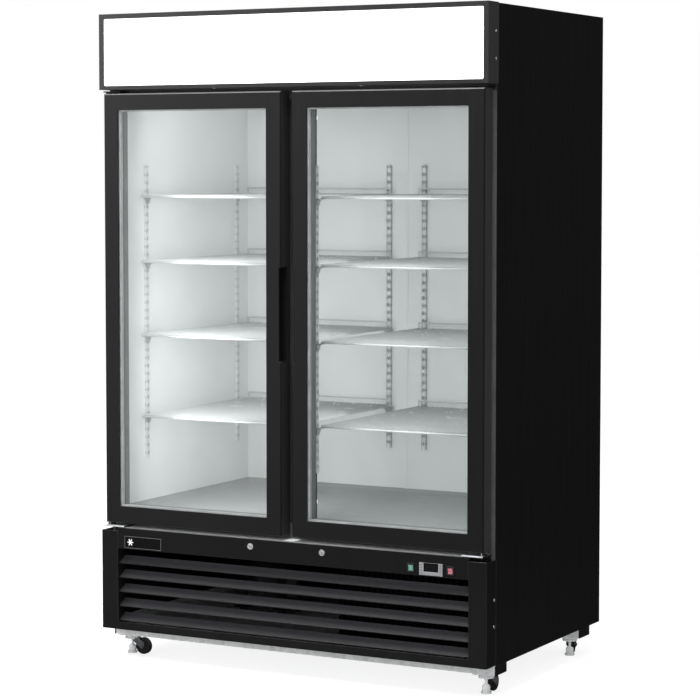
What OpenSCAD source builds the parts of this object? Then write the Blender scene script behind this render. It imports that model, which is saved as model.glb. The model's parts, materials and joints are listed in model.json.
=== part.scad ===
// Two-door glass front merchandiser on levelling casters.
// Origin: floor level, below the middle of the cabinet. +Z is up, -Y is the front.

/* [Cabinet] */
// Width over the side panels
cab_w = 1320; // [1240:10:1480]
// Depth from the sign face to the back skin
cab_d = 843; // [780:1:900]
// Height of the sign's top edge above the floor
cab_h = 1994; // [1950:1:2060]
// Height of the side panels' lower edge above the floor
base_z = 89; // [89:1:100]
// Setback of the cabinet's front face behind the sign face
face_y = 58; // [52:1:66]
// Distance from the outer skin to the inner liner
wall_t = 56; // [50:1:62]
// Sheet thickness of the outer skin
skin_t = 1.2; // [0.8:0.1:2]

/* [Sign box] */
// Height of the sign box
sign_h = 231; // [200:1:260]
// Width of the side bars around the sign
sign_bar = 16; // [12:1:22]
// Depth of the side flanges that wrap round the cabinet
sign_flange = 67; // [60:1:75]

/* [Doors] */
// Height of the door's lower edge above the floor
door_z = 424.5; // [420:0.5:430]
// Height of one door
door_h = 1327; // [1300:1:1330]
// Gap between the two doors
door_gap = 35; // [30:1:44]
// Thickness of the door frame
door_t = 50; // [46:1:52]
// Width of the stiles and rails seen from the front
stile_w = 52; // [44:1:60]
// Length of the recessed grip
grip_len = 284; // [200:1:320]

/* [Lower front] */
// Height of the ledge above the louvred panel
ledge_z = 412; // [408:1:416]
// Number of slats
slat_n = 5; // [4:1:6]
// Distance from one slat to the next
slat_pitch = 44.8; // [42:0.1:46]

/* [Shelves] */
// Heights of the four shelf levels above the floor
shelf_z = [746, 1000, 1230, 1434];
// Depth of a shelf
shelf_d = 655; // [640:5:660]
// Spacing of the shelf wires
wire_pitch = 17.2; // [15:0.1:30]
// Number of rods across each shelf
rod_n = 5; // [4:1:6]

/* [Casters] */
// Wheel diameter
wheel_d = 52; // [48:1:54]
// Distance of the axle behind the swivel axis
trail = 43; // [42:1:46]
// Swivel direction of the front left, front right, rear left and rear right caster
caster_turn = [0, 90, 75, 105];

/* [Hidden] */
$fn = 48;

// Cabinet planes. Depths are counted from the sign face.
half_w = cab_w / 2;
roof_z = cab_h - 2;
sign_z = cab_h - sign_h;
in_x = half_w - wall_t;
in_front = face_y + 14;
in_back = cab_d - 48;
floor_z = ledge_z + 48;
ceiling_z = roof_z - 47;
opening_top = door_z + door_h - 23.5;
liner_t = 1;
mullion_w = 76;
mullion_d = 67;

// Lower front panel
lower_z = base_z + 3;
post_w = 58;
post_top = ledge_z - 12;
fascia_h = 66;
panel_flange = 63;
slat_z = lower_z + 26;
slat_y = 8;
slat_rise = 19.5;
slat_depth = 34;

// Door and its glazing
door_y = 4;
door_w = half_w - 12.5 - door_gap / 2;
door_x = door_gap / 2;
door_top = door_z + door_h;
lip_t = 5;
pane_t = 4;
glass_gap = 12;
glass_y = door_y + lip_t;
glass_t = 2 * pane_t + glass_gap;
bite = 13;
grip_z = door_z + 521.5;
hinge_x = door_x + door_w - 9.5;
hinge_y = door_y + 20;
pin_d = 12;
pin_fit = 0.05;

// Controls on the fascia
control_z = 367.5;
lock_x = 123;
lock_z = 388;
rocker_x = [417, 544.5];
rocker_w = 24.5;
rocker_h = 27;
rocker_tilt = 9;
display_x = 483.5;

// Shelving
standard_z = [608, 1531];
side_standard_y = [168, 718];
rear_standard_x = 64;
slot_pitch = 25;
shelf_y = 122;
shelf_in = mullion_w / 2 + 12;
shelf_out = in_x - 12;

// Underframe and casters
channel_h = 28;
channel_y = [67, 687];
channel_w = [73, 76];
caster_x = half_w - 46;
caster_y = [98, 714];
plate_z = base_z - channel_h - 4;
wheel_w = 21;
axle_d = 6;
stem_d = 8;

// Refrigeration parts
fan_x = 330;
fan_y = 262;
fan_z = 250;
evap_fan_y = 330;
evap_z = opening_top + 10;
inlet_x = 617;

// Shifts the depth counted from the sign face to the object's own frame.
module cab() translate([0, -cab_d / 2, 0]) children();

module both_sides() for (s = [0, 1]) mirror([s, 0, 0]) children();

// A block between two corners.
module block(a, b) translate(a) cube(b - a);

module rod_x(p, d, l) translate(p) rotate([0, 90, 0]) cylinder(d = d, h = l);

module rod_y(p, d, l) translate(p) rotate([-90, 0, 0]) cylinder(d = d, h = l);

// ---------- Cabinet ----------

module outer_cabinet() color("#181617") cab() {
    both_sides() difference() {
        block([half_w - skin_t, face_y, base_z], [half_w, cab_d, roof_z]);
        block([half_w - 5, 0, sign_z], [half_w + 1, sign_flange + 0.5, roof_z + 1]);
        block([half_w - 5, 0, 0], [half_w + 1, panel_flange + 0.5, post_top + 0.5]);
    }
    block([-half_w, sign_flange + 0.5, roof_z - skin_t], [half_w, cab_d, roof_z]);
    difference() {
        block([-half_w, cab_d - skin_t, base_z], [half_w, cab_d, roof_z]);
        block([-560, cab_d - 5, 130], [560, cab_d + 1, 380]);
        block([inlet_x - 19.3, cab_d - 5, 154.7], [inlet_x + 19.3, cab_d + 1, 185.3]);
    }
    block([-half_w + 1, in_front, ledge_z - skin_t], [half_w - 1, cab_d - 1, ledge_z]);
}

module inner_liner() color("#e4e8e6") cab() difference() {
    block([-in_x - liner_t, in_front, floor_z - liner_t],
          [in_x + liner_t, in_back + liner_t, ceiling_z + liner_t]);
    block([-in_x, in_front - 1, floor_z], [in_x, in_back, ceiling_z]);
}

module foam_insulation() color("#d9c98c") cab() difference() {
    block([-half_w + skin_t, in_front, ledge_z],
          [half_w - skin_t, cab_d - skin_t, roof_z - skin_t]);
    block([-in_x - liner_t, in_front - 1, floor_z - liner_t],
          [in_x + liner_t, in_back + liner_t, ceiling_z + liner_t]);
}

// Thermal break and sealing face round the door opening.
module face_frame() color("#1d1d1e") cab() difference() {
    block([-half_w + skin_t, face_y, ledge_z - 32],
          [half_w - skin_t, in_front, roof_z - skin_t]);
    block([-in_x, face_y - 1, floor_z], [in_x, in_front + 1, opening_top]);
    block([-half_w, in_front - 4, 0], [half_w, in_front + 1, ledge_z]);
}

module centre_mullion() color("#1d1d1e") cab() difference() {
    block([-mullion_w / 2, face_y, floor_z], [mullion_w / 2, face_y + mullion_d, opening_top]);
    block([-mullion_w / 2 + 2, face_y + 2, floor_z + 2],
          [mullion_w / 2 - 2, face_y + mullion_d - 2, opening_top - 2]);
}

// ---------- Underframe ----------

// Floor pan with the two folded channels that carry the casters welded under it.
module base_frame() color("#b9bcbd") cab() {
    block([-half_w + skin_t, panel_flange + 1, base_z],
          [half_w - skin_t, cab_d - skin_t, base_z + 2]);
    both_sides()
        block([half_w - skin_t - 2, panel_flange + 1, base_z],
              [half_w - skin_t, cab_d - skin_t, base_z + 24]);
    for (i = [0, 1]) difference() {
        block([-half_w + 5, channel_y[i], base_z - channel_h],
              [half_w - 5, channel_y[i] + channel_w[i], base_z]);
        block([-half_w, channel_y[i] + 2.5, base_z - channel_h + 2.5],
              [half_w, channel_y[i] + channel_w[i] - 2.5, base_z + 1]);
        for (sx = [-1, 1])
            translate([sx * caster_x, caster_y[i], 0]) cylinder(d = 14, h = base_z);
    }
}

module channel_end_caps() color("#111111") cab() for (i = [0, 1]) both_sides() {
    block([half_w - 5, channel_y[i], base_z - channel_h],
          [half_w, channel_y[i] + channel_w[i], base_z]);
    block([half_w - 15, channel_y[i] + 3, base_z - channel_h + 3],
          [half_w - 5, channel_y[i] + channel_w[i] - 3, base_z - 1]);
}

// ---------- Sign box ----------

module sign_outline(inset) {
    translate([-half_w + inset, sign_z + inset])
        square([cab_w - 2 * inset, sign_h - 2 * inset]);
}

module sign_window() {
    r = 4;
    z0 = sign_z + 12;
    z1 = cab_h - 15;
    x1 = half_w - sign_bar;
    for (x = [-x1 + r, x1 - r]) for (z = [z0 + r, z1 - r]) translate([x, z]) circle(r);
    translate([-x1 + r, z0]) square([2 * (x1 - r), z1 - z0]);
    translate([-x1, z0 + r]) square([2 * x1, z1 - z0 - 2 * r]);
}

module sign_frame() color("#2a2a2c") cab() {
    translate([0, 5, 0]) rotate([90, 0, 0]) linear_extrude(5) difference() {
        sign_outline(0);
        sign_window();
    }
    both_sides() block([half_w - skin_t, 0, sign_z], [half_w, sign_flange, cab_h]);
    block([-half_w, 0, cab_h - 1.5], [half_w, sign_flange, cab_h]);
    block([-half_w, 0, sign_z], [half_w, 50, sign_z + 1.5]);
}

module sign_panel() color("#ffffff") cab()
    block([-half_w + sign_bar - 8, 5, sign_z + 6], [half_w - sign_bar + 8, 8, cab_h - 8]);

// Two tubes behind the sign and two beside the mullion.
module led_tubes() color("#f4f8ff") cab() {
    for (z = [sign_z + 75, sign_z + 155]) {
        rod_x([-590, 36, z], 22, 1180);
        for (x = [-600, 590]) block([x, 24, z - 13], [x + 10, face_y, z + 13]);
    }
    both_sides() {
        translate([mullion_w / 2 - 20, face_y + mullion_d + 12, floor_z + 60])
            cylinder(d = 16, h = opening_top - floor_z - 120);
        for (z = [floor_z + 50, opening_top - 60])
            block([mullion_w / 2 - 28, face_y + mullion_d, z],
                  [mullion_w / 2 - 12, face_y + mullion_d + 22, z + 10]);
    }
}

// Pan-head screws in the side flanges and under the sign box.
module panel_screws() color("#c9ccce") cab() {
    both_sides() {
        for (z = [sign_z + 71, sign_z + 149]) rod_x([half_w, 51, z], 9, 1.8);
        for (z = [207, 285]) rod_x([half_w, 51, z], 9, 1.8);
        translate([250, 9, sign_z - 2.4]) cylinder(d = 12, h = 2.4);
    }
}

// ---------- Lower front ----------

module control_fascia() color("#1d1d1e") cab() difference() {
    x1 = half_w - post_w - 0.3;
    union() {
        block([-x1, 0, ledge_z - fascia_h], [x1, 1.5, ledge_z - 1.8]);
        block([-x1 + 32, 0, ledge_z - 3.3], [x1 - 32, 16, ledge_z - 1.8]);
        block([-x1, 0, ledge_z - fascia_h], [x1, 14, ledge_z - fascia_h + 1.5]);
    }
    for (s = [-1, 1]) rod_y([s * lock_x, -1, lock_z], 17, 4);
    for (x = rocker_x)
        block([x - 10.5, -1, control_z - 11], [x + 10.5, 3, control_z + 11]);
    block([display_x - 34, -1, control_z - 14], [display_x + 34, 3, control_z + 14]);
}

// Plated strip that closes the top of the lower front, below the doors.
module ledge_plate() color("#c3c6c8") cab()
    block([-half_w + 83, 0, ledge_z - 1.8], [half_w - 83, face_y - 0.3, ledge_z]);

// Corner posts, slats and bottom bar, welded together.
module louvre_panel() color("#2c2c2f") cab() {
    inner = half_w - post_w;
    both_sides() {
        block([inner, 0, lower_z], [half_w, 1.5, post_top]);
        block([half_w - skin_t, 0, lower_z], [half_w, panel_flange, post_top]);
        block([inner, 0, lower_z], [inner + 1.5, slat_y + slat_depth + 2, post_top]);
    }
    block([-inner - 1, 0, lower_z], [inner + 1, 1.5, slat_z - 2]);
    block([-inner - 1, 0, lower_z], [inner + 1, 45, lower_z + 1.5]);
    for (i = [0 : slat_n - 1])
        translate([-inner - 1, slat_y, slat_z + i * slat_pitch])
            rotate([90, 0, 90])
                linear_extrude(2 * inner + 2)
                    polygon([[0, 0], [0, 2.5], [slat_depth, slat_rise + 2.5],
                             [slat_depth, slat_rise], [1.5, 0]]);
}

module badge_plate() color("#101010") cab()
    block([-576, -1.5, 349], [-441, 0, 387]);

module lock_housings() color("#c9ccce") cab() for (s = [-1, 1])
    translate([s * lock_x, 0, lock_z]) rotate([-90, 0, 0]) difference() {
        union() {
            translate([0, 0, -2.5]) cylinder(d = 19, h = 2.5);
            cylinder(d = 16.6, h = 22);
        }
        translate([0, 0, -3]) cylinder(d = 12.1, h = 26);
    }

// Keyed cylinder with the cam that swings behind the fascia.
module lock_cylinder(s) color("#c9ccce") cab()
    translate([s * lock_x, 0, lock_z]) rotate([-90, 0, 0]) {
        difference() {
            translate([0, 0, -3.5]) cylinder(d = 12, h = 28);
            translate([-1, -4, -4]) cube([2, 8, 6]);
        }
        translate([0, 0, 22.5]) {
            cylinder(d = 14, h = 2.5);
            translate([0, -5, 0]) cube([19, 10, 2.5]);
        }
    }

module lock_cylinder_left() lock_cylinder(-1);

module lock_cylinder_right() lock_cylinder(1);

// Temperature controller: raised bezel on a case that passes through the fascia.
module controller() color("#9fa3a6") cab() {
    difference() {
        block([display_x - 37.5, -4, control_z - 18], [display_x + 37.5, 0, control_z + 18]);
        block([display_x - 24, -5, control_z - 8], [display_x + 24, -2.5, control_z + 19]);
    }
    block([display_x - 33.5, 0, control_z - 13.5], [display_x + 33.5, 55, control_z + 13.5]);
}

module rocker_housings() color("#141414") cab() for (x = rocker_x)
    translate([x, 0, control_z]) difference() {
        union() {
            block([-rocker_w / 2, -2, -rocker_h / 2], [rocker_w / 2, 0, rocker_h / 2]);
            block([-10, 0, -10.5], [10, 24, 10.5]);
        }
        block([-8, -3, -9.5], [8, 12, 9.5]);
        rod_x([-9.5, 4, 0], 3.1, 19);
    }

// Rocker with its pivot stubs, shown switched on.
module rocker(i) cab()
    translate([rocker_x[i], 4, control_z]) rotate([rocker_tilt, 0, 0]) {
        translate([-7.6, 0, 0]) rotate([90, 0, 90]) linear_extrude(15.2)
            polygon([[-6.2, -8.1], [-4.6, 0], [-6.2, 8.1], [-1.4, 8.1], [4.5, 2], [4.5, -2],
                     [-1.4, -8.1]]);
        rod_x([-9.3, 0, 0], 3, 18.6);
    }

module rocker_green() color("#2f8f63") rocker(0);

module rocker_red() color("#b3262a") rocker(1);

// ---------- Hinges ----------

module hinge_brackets() color("#c3c6c8") cab() both_sides() {
    block([half_w - 82, 1, ledge_z], [half_w - 13, face_y, ledge_z + 4]);
    block([half_w - 82, face_y - 4, ledge_z - 30], [half_w - 13, face_y, ledge_z + 3]);
    for (x = [half_w - 47, half_w - 26])
        rod_y([x, face_y - 7.5, ledge_z - 14], 9, 4);
    translate([hinge_x, hinge_y, ledge_z]) cylinder(d = 24, h = door_z - ledge_z - 0.4);
    translate([hinge_x, hinge_y, ledge_z]) cylinder(d = pin_d, h = door_z - ledge_z + 16);
    block([half_w - 70, 10, door_top + 3.5], [half_w - 8, face_y, door_top + 7.5]);
    block([half_w - 70, face_y - 4, door_top + 3.5], [half_w - 8, face_y, door_top + 45]);
    translate([hinge_x, hinge_y, door_top - 16]) cylinder(d = pin_d, h = 20);
    translate([hinge_x, hinge_y, door_top + 0.4]) cylinder(d = 22, h = 4);
}

// ---------- Doors ----------

// Outline of the right door with a chamfer on its four front edges.
module door_blank() {
    c = 4;
    intersection() {
        translate([0, 0, door_z]) linear_extrude(door_h)
            polygon([[door_x, door_y + c], [door_x + c, door_y],
                     [door_x + door_w - c, door_y], [door_x + door_w, door_y + c],
                     [door_x + door_w, door_y + door_t], [door_x, door_y + door_t]]);
        translate([door_x - 1, 0, 0]) rotate([90, 0, 90]) linear_extrude(door_w + 2)
            polygon([[door_y, door_z + c], [door_y + c, door_z],
                     [door_y + door_t, door_z], [door_y + door_t, door_top],
                     [door_y + c, door_top], [door_y, door_top - c]]);
    }
}

// Rectangle inside the right door, moved in from the door's edge by d.
module door_window(d, y0, y1)
    block([door_x + d, y0, door_z + d + 1], [door_x + door_w - d, y1, door_top - d + 1]);

// Space of the recessed grip in the closing stile: a front notch and a finger pocket.
module grip_space(wall) {
    block([door_x - 1, door_y - 1, grip_z + wall],
          [door_x + 10 - wall, door_y + 38 - wall, grip_z + grip_len - wall]);
    block([door_x - 1, door_y + 6 + wall, grip_z + wall],
          [door_x + 24 - wall, door_y + 38 - wall, grip_z + grip_len - wall]);
}

module door_frame() color("#2b2b2d") cab() difference() {
    door_blank();
    door_window(stile_w, door_y - 1, door_y + lip_t + 1);
    door_window(stile_w - bite - 0.2, glass_y, glass_y + glass_t + 0.2);
    door_window(stile_w + 3, glass_y + glass_t, door_y + door_t + 1);
    grip_space(0);
    for (z = [door_z - 1, door_top - 19])
        translate([hinge_x, hinge_y, z]) cylinder(d = pin_d + 2 * pin_fit, h = 20);
}

module door_glass() color("#cfe0dc", 0.35) cab() {
    door_window(stile_w - bite, glass_y, glass_y + pane_t);
    door_window(stile_w - bite, glass_y + pane_t + glass_gap, glass_y + glass_t);
}

module glass_spacer() color("#a9adaf") cab() difference() {
    door_window(stile_w - bite, glass_y + pane_t, glass_y + pane_t + glass_gap);
    door_window(stile_w + 4.4, glass_y, glass_y + glass_t);
}

module door_gasket() color("#262626") cab() difference() {
    door_window(6, door_y + door_t, face_y - 0.3);
    door_window(20, door_y, face_y + 1);
    block([door_x + door_w - 11.5, 0, 0], [half_w, cab_d, cab_h]);
}

module grip_handle() color("#0f0f10") cab() difference() {
    intersection() {
        grip_space(0);
        block([door_x, door_y, 0], [half_w, cab_d, cab_h]);
    }
    grip_space(2);
}

module door_frame_right() door_frame();

module door_glass_right() door_glass();

module glass_spacer_right() glass_spacer();

module door_gasket_right() door_gasket();

module grip_handle_right() grip_handle();

module door_frame_left() mirror([1, 0, 0]) door_frame();

module door_glass_left() mirror([1, 0, 0]) door_glass();

module glass_spacer_left() mirror([1, 0, 0]) glass_spacer();

module door_gasket_left() mirror([1, 0, 0]) door_gasket();

module grip_handle_left() mirror([1, 0, 0]) grip_handle();

// ---------- Shelving ----------

// Slotted channel that stands 8 mm off the plane z = 0, its length along +Y.
module standard(l) difference() {
    block([-8, 0, 0], [8, l, 8]);
    block([-6.5, -1, -1], [6.5, l + 1, 6.5]);
    for (y = [12 : slot_pitch : l - 12]) block([-2.5, y, 5], [2.5, y + 14, 9]);
}

module standing(p, turn) translate(p) rotate([0, 0, turn]) rotate([90, 0, 0])
    standard(standard_z[1] - standard_z[0]);

module shelf_standards() color("#c9ccce") cab() both_sides() {
    for (y = side_standard_y) standing([in_x, y, standard_z[0]], -90);
    standing([rear_standard_x, in_back, standard_z[0]], 0);
    standing([mullion_w / 2, face_y + mullion_d - 12, standard_z[0]], 90);
}

// Sheet clip under a shelf rod, hung on a standard and pointing along +X: a plate that
// narrows downwards, and a tongue whose upper side is at z = 0. The plate and the tongue
// reach from back to wide along +Y.
module clip(back = -19, wide = 19) {
    rotate([90, 0, 90]) linear_extrude(2)
        polygon([[-7, -20], [7, -20], [wide, -1], [wide, 0], [back, 0], [back, -1]]);
    block([0, back, -2], [14, wide, 0]);
}

module shelf_clips() color("#b9bcbd") cab() both_sides() for (z = shelf_z) {
    for (y = side_standard_y)
        translate([in_x - 8, y, z - 3]) rotate([0, 0, 180]) clip();
    translate([rear_standard_x, in_back - 8, z - 3]) rotate([0, 0, -90]) clip();
    translate([mullion_w / 2 + 8, face_y + mullion_d - 12, z - 3]) clip(-12, 18);
}

// One welded wire shelf of the right-hand section; its rods rest at height z. The rods
// and wires have eight sides.
module shelf(z) {
    $fn = 8;
    w = shelf_out - shelf_in;
    n = round((w - 10) / wire_pitch);
    gap = (w - 10) / n;
    back = shelf_y + shelf_d - 3;
    for (i = [0 : rod_n - 1])
        rod_x([shelf_in, shelf_y + 3 + i * (shelf_d - 6) / (rod_n - 1), z], 6, w);
    for (i = [0 : n])
        rod_y([shelf_in + 5 + i * gap, shelf_y, z + 4.2], 4, shelf_d);
    rod_x([shelf_in, back, z + 22], 5, w);
    for (x = [shelf_in + 3, shelf_out - 3]) {
        rod_y([x, shelf_y + 3, z], 6, shelf_d - 6);
        translate([x, back, z]) cylinder(d = 5, h = 22);
    }
}

module shelves_right() color("#f6f7f7") cab() for (z = shelf_z) shelf(z);

module shelves_left() mirror([1, 0, 0]) shelves_right();

// ---------- Refrigeration ----------

// Ceiling pan below the coil, with the fan's opening and its guard bars.
module evaporator_cover() color("#e9ebea") cab() {
    difference() {
        block([-in_x + 4, face_y + mullion_d + 30, evap_z],
              [in_x - 4, in_back - 40, evap_z + 1.5]);
        translate([0, evap_fan_y, evap_z - 1]) cylinder(d = 210, h = 4);
    }
    for (a = [0, 60, 120]) translate([0, evap_fan_y, evap_z]) rotate([0, 0, a])
        block([-108, -2, 0], [108, 2, 1.5]);
    translate([0, evap_fan_y, evap_z]) difference() {
        cylinder(d = 120, h = 1.5);
        translate([0, 0, -1]) cylinder(d = 114, h = 4);
    }
    both_sides() block([in_x - 5.5, face_y + mullion_d + 30, evap_z],
                       [in_x - 4, in_back - 40, evap_z + 40]);
    block([-in_x + 4, face_y + mullion_d + 30, evap_z],
          [in_x - 4, face_y + mullion_d + 31.5, evap_z + 40]);
}

// Finned block with the end plates that hang it from the liner's ceiling.
module evaporator_coil() color("#bfc4c6") cab() {
    z0 = evap_z + 35;
    for (x = [-440 : 20 : 440]) block([x, 480, z0], [x + 14, 700, ceiling_z - 15]);
    for (x = [-470, 468]) block([x, 475, z0 - 5], [x + 2, 705, ceiling_z]);
    for (y = [510, 590, 670]) for (z = [z0 + 30, z0 + 100]) rod_x([-470, y, z], 10, 939);
}

// Axial fan along +Z: hub, shaft and pitched blades.
module fan(r, hub, blades) {
    cylinder(r = hub, h = 24);
    for (i = [0 : blades - 1]) rotate([0, 0, i * 360 / blades])
        translate([hub - 3, 0, 12]) rotate([28, 0, 0])
            translate([0, -hub * 0.8, -1]) cube([r - hub, hub * 1.6, 2]);
}

module evaporator_fan() color("#3a3a3c") cab()
    translate([0, evap_fan_y, evap_z + 8]) {
        fan(94, 24, 5);
        cylinder(d = 8, h = 60);
    }

module compressor() color("#17181a") cab() {
    c = [-330, 480, base_z + 2];
    translate(c) {
        for (x = [-70, 70]) for (y = [-60, 60]) translate([x, y, 0]) cylinder(d = 26, h = 20);
        block([-95, -80, 20], [95, 80, 24]);
        translate([0, 0, 24]) cylinder(r = 78, h = 130);
        translate([0, 0, 154]) cylinder(r1 = 78, r2 = 52, h = 26);
        block([74, -32, 60], [112, 32, 130]);
        rod_x([-120, 0, 110], 10, 60);
    }
}

module condenser_coil() color("#8f9497") cab() {
    z0 = base_z + 12;
    for (x = [fan_x - 205 : 20 : fan_x + 190]) block([x, 110, z0], [x + 14, 190, 385]);
    for (z = [130, 200, 270, 340]) rod_x([fan_x - 215, 150, z], 10, 430);
    translate([fan_x, 0, 0]) both_sides() block([205, 106, base_z + 2], [207, 194, 388]);
}

// Ring plate behind the condenser with the motor bracket.
module fan_shroud() color("#26282a") cab() {
    difference() {
        block([fan_x - 204, 195, base_z + 2], [fan_x + 204, 250, 390]);
        block([fan_x - 201, 194, base_z + 6], [fan_x + 201, 248, 387]);
        rod_y([fan_x, 240, fan_z], 264, 20);
    }
}

// Shaded-pole motor along +Z with a blind shaft bore at z = 0 and a mounting strap.
module fan_motor(strap) {
    difference() {
        union() {
            cylinder(d = 78, h = 46);
            translate([0, 0, 46]) cylinder(d = 40, h = 10);
            block([-12, 0, 12], [12, strap, 24]);
        }
        translate([0, 0, -1]) cylinder(d = 8.1, h = 30);
    }
    block([-60, strap, 12], [60, strap + 5, 24]);
}

module fan_motors() color("#2f3236") cab() {
    translate([fan_x, fan_y + 44, fan_z]) rotate([-90, 0, 0])
        fan_motor(fan_z - base_z - 7);
    translate([0, evap_fan_y, evap_z + 52]) {
        fan_motor(75);
        block([-60, 75, 24], [-54, 80, ceiling_z - evap_z - 52]);
        block([54, 75, 24], [60, 80, ceiling_z - evap_z - 52]);
    }
}

module condenser_fan() color("#202224") cab() {
    translate([fan_x, fan_y, fan_z]) rotate([-90, 0, 0]) {
        fan(122, 30, 5);
        cylinder(d = 8, h = 66);
    }
}

// Slotted back panel; each slot has a tongue pressed inwards and up behind it.
module rear_grille() color("#202022") cab() {
    slot_w = 46;
    slot_x = [-540 : 60 : 500];
    slot_z = [150 : 20 : 350];
    difference() {
        block([-575, cab_d, 115], [575, cab_d + 2.5, 395]);
        for (x = slot_x) for (z = slot_z)
            block([x, cab_d - 1, z], [x + slot_w, cab_d + 4, z + 8]);
    }
    for (z = slot_z) translate([-545, 0, 0]) rotate([90, 0, 90]) linear_extrude(1096)
        polygon([[cab_d + 0.5, z - 3], [cab_d + 0.5, z], [cab_d - 8, z + 11],
                 [cab_d - 9, z + 10], [cab_d, z - 3]]);
}

// Recessed mains inlet housing beside the rear grille.
module power_inlet() color("#141414") cab() difference() {
    union() {
        block([inlet_x - 25, cab_d, 150], [inlet_x + 25, cab_d + 4, 190]);
        block([inlet_x - 19, cab_d - 26, 155], [inlet_x + 19, cab_d + 1, 185]);
    }
    block([inlet_x - 14, cab_d - 20, 159], [inlet_x + 14, cab_d + 5, 181]);
}

// ---------- Casters ----------

module at_caster(i) cab()
    translate([(i % 2 == 0 ? -1 : 1) * caster_x, caster_y[floor(i / 2)], 0]) children();

// Mounting plates with the upper race of the swivel.
module caster_plates() color("#b9bcbd") for (i = [0 : 3]) at_caster(i) difference() {
    union() {
        block([-34, -26, plate_z], [34, 26, plate_z + 4]);
        translate([0, 0, plate_z - 5]) cylinder(d = 42, h = 6);
        for (x = [-27, 27]) for (y = [-19, 19])
            translate([x, y, plate_z - 2.5]) cylinder(d = 9, h = 3, $fn = 6);
    }
    translate([0, 0, plate_z - 6]) cylinder(d = stem_d + 0.1, h = 12);
}

// Swivelling fork with its axle; the wheel trails along the caster's own +X.
module caster_fork(i) color("#c3c6c8") at_caster(i) rotate([0, 0, caster_turn[i]]) {
    top = plate_z - 5.3;
    axle_z = wheel_d / 2;
    difference() {
        translate([0, 0, top - 5]) cylinder(d = 46, h = 5);
        translate([0, 0, top - 6]) cylinder(d = stem_d + 4, h = 8);
    }
    for (y = [-wheel_w / 2 - 3.5, wheel_w / 2 + 1])
        translate([0, y + 2.5, 0]) rotate([90, 0, 0]) linear_extrude(2.5)
            polygon([[8, top - 0.5], [19, top - 0.5], [trail + 8, axle_z + 12],
                     [trail + 9, axle_z], [trail, axle_z - 9], [trail - 8, axle_z - 3],
                     [16, top - 16], [8, top - 5]]);
    rod_y([trail, -wheel_w / 2 - 4.5, axle_z], axle_d, wheel_w + 9);
    for (y = [-wheel_w / 2 - 6.5, wheel_w / 2 + 3.5])
        translate([trail, y, axle_z]) rotate([-90, 0, 0]) cylinder(d = 10, h = 3, $fn = 6);
}

module caster_wheel(i) color("#151515") at_caster(i) rotate([0, 0, caster_turn[i]])
    translate([trail, 0, wheel_d / 2]) rotate([90, 0, 0]) {
        r = wheel_d / 2;
        rotate_extrude() polygon([
            [axle_d / 2 + 0.05, -wheel_w / 2], [10, -wheel_w / 2], [10, -wheel_w / 2 + 3],
            [r - 8, -wheel_w / 2 + 3], [r - 7, -wheel_w / 2 + 1], [r - 2, -wheel_w / 2 + 1],
            [r, -wheel_w / 2 + 4], [r, wheel_w / 2 - 4], [r - 2, wheel_w / 2 - 1],
            [r - 7, wheel_w / 2 - 1], [r - 8, wheel_w / 2 - 3], [10, wheel_w / 2 - 3],
            [10, wheel_w / 2], [axle_d / 2 + 0.05, wheel_w / 2]]);
    }

// Screwed foot on the swivel axis: pad, turning barrel, neck and stem.
module levelling_foot(i) color("#b4b8ba") at_caster(i) {
    cylinder(d = 31, h = 5);
    translate([0, 0, 5]) cylinder(d = 24, h = 17);
    translate([0, 0, 22]) cylinder(d1 = 24, d2 = 13, h = 6);
    cylinder(d = stem_d, h = base_z - 10);
}

module caster_fork_fl() caster_fork(0);

module caster_fork_fr() caster_fork(1);

module caster_fork_rl() caster_fork(2);

module caster_fork_rr() caster_fork(3);

module caster_wheel_fl() caster_wheel(0);

module caster_wheel_fr() caster_wheel(1);

module caster_wheel_rl() caster_wheel(2);

module caster_wheel_rr() caster_wheel(3);

module levelling_foot_fl() levelling_foot(0);

module levelling_foot_fr() levelling_foot(1);

module levelling_foot_rl() levelling_foot(2);

module levelling_foot_rr() levelling_foot(3);

outer_cabinet();
inner_liner();
foam_insulation();
face_frame();
centre_mullion();
base_frame();
channel_end_caps();
sign_frame();
sign_panel();
led_tubes();
panel_screws();
control_fascia();
ledge_plate();
louvre_panel();
badge_plate();
lock_housings();
lock_cylinder_left();
lock_cylinder_right();
controller();
rocker_housings();
rocker_green();
rocker_red();
hinge_brackets();
door_frame_left();
door_glass_left();
glass_spacer_left();
door_gasket_left();
grip_handle_left();
door_frame_right();
door_glass_right();
glass_spacer_right();
door_gasket_right();
grip_handle_right();
shelf_standards();
shelf_clips();
shelves_left();
shelves_right();
evaporator_cover();
evaporator_coil();
evaporator_fan();
compressor();
condenser_coil();
fan_shroud();
condenser_fan();
fan_motors();
rear_grille();
power_inlet();
caster_plates();
caster_fork_fl();
caster_fork_fr();
caster_fork_rl();
caster_fork_rr();
caster_wheel_fl();
caster_wheel_fr();
caster_wheel_rl();
caster_wheel_rr();
levelling_foot_fl();
levelling_foot_fr();
levelling_foot_rl();
levelling_foot_rr();
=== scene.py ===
"""Looks of the glass door merchandiser: materials, finer pieces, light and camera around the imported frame."""

import json
import math

import bmesh
import bpy
from mathutils import Matrix, Vector

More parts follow.
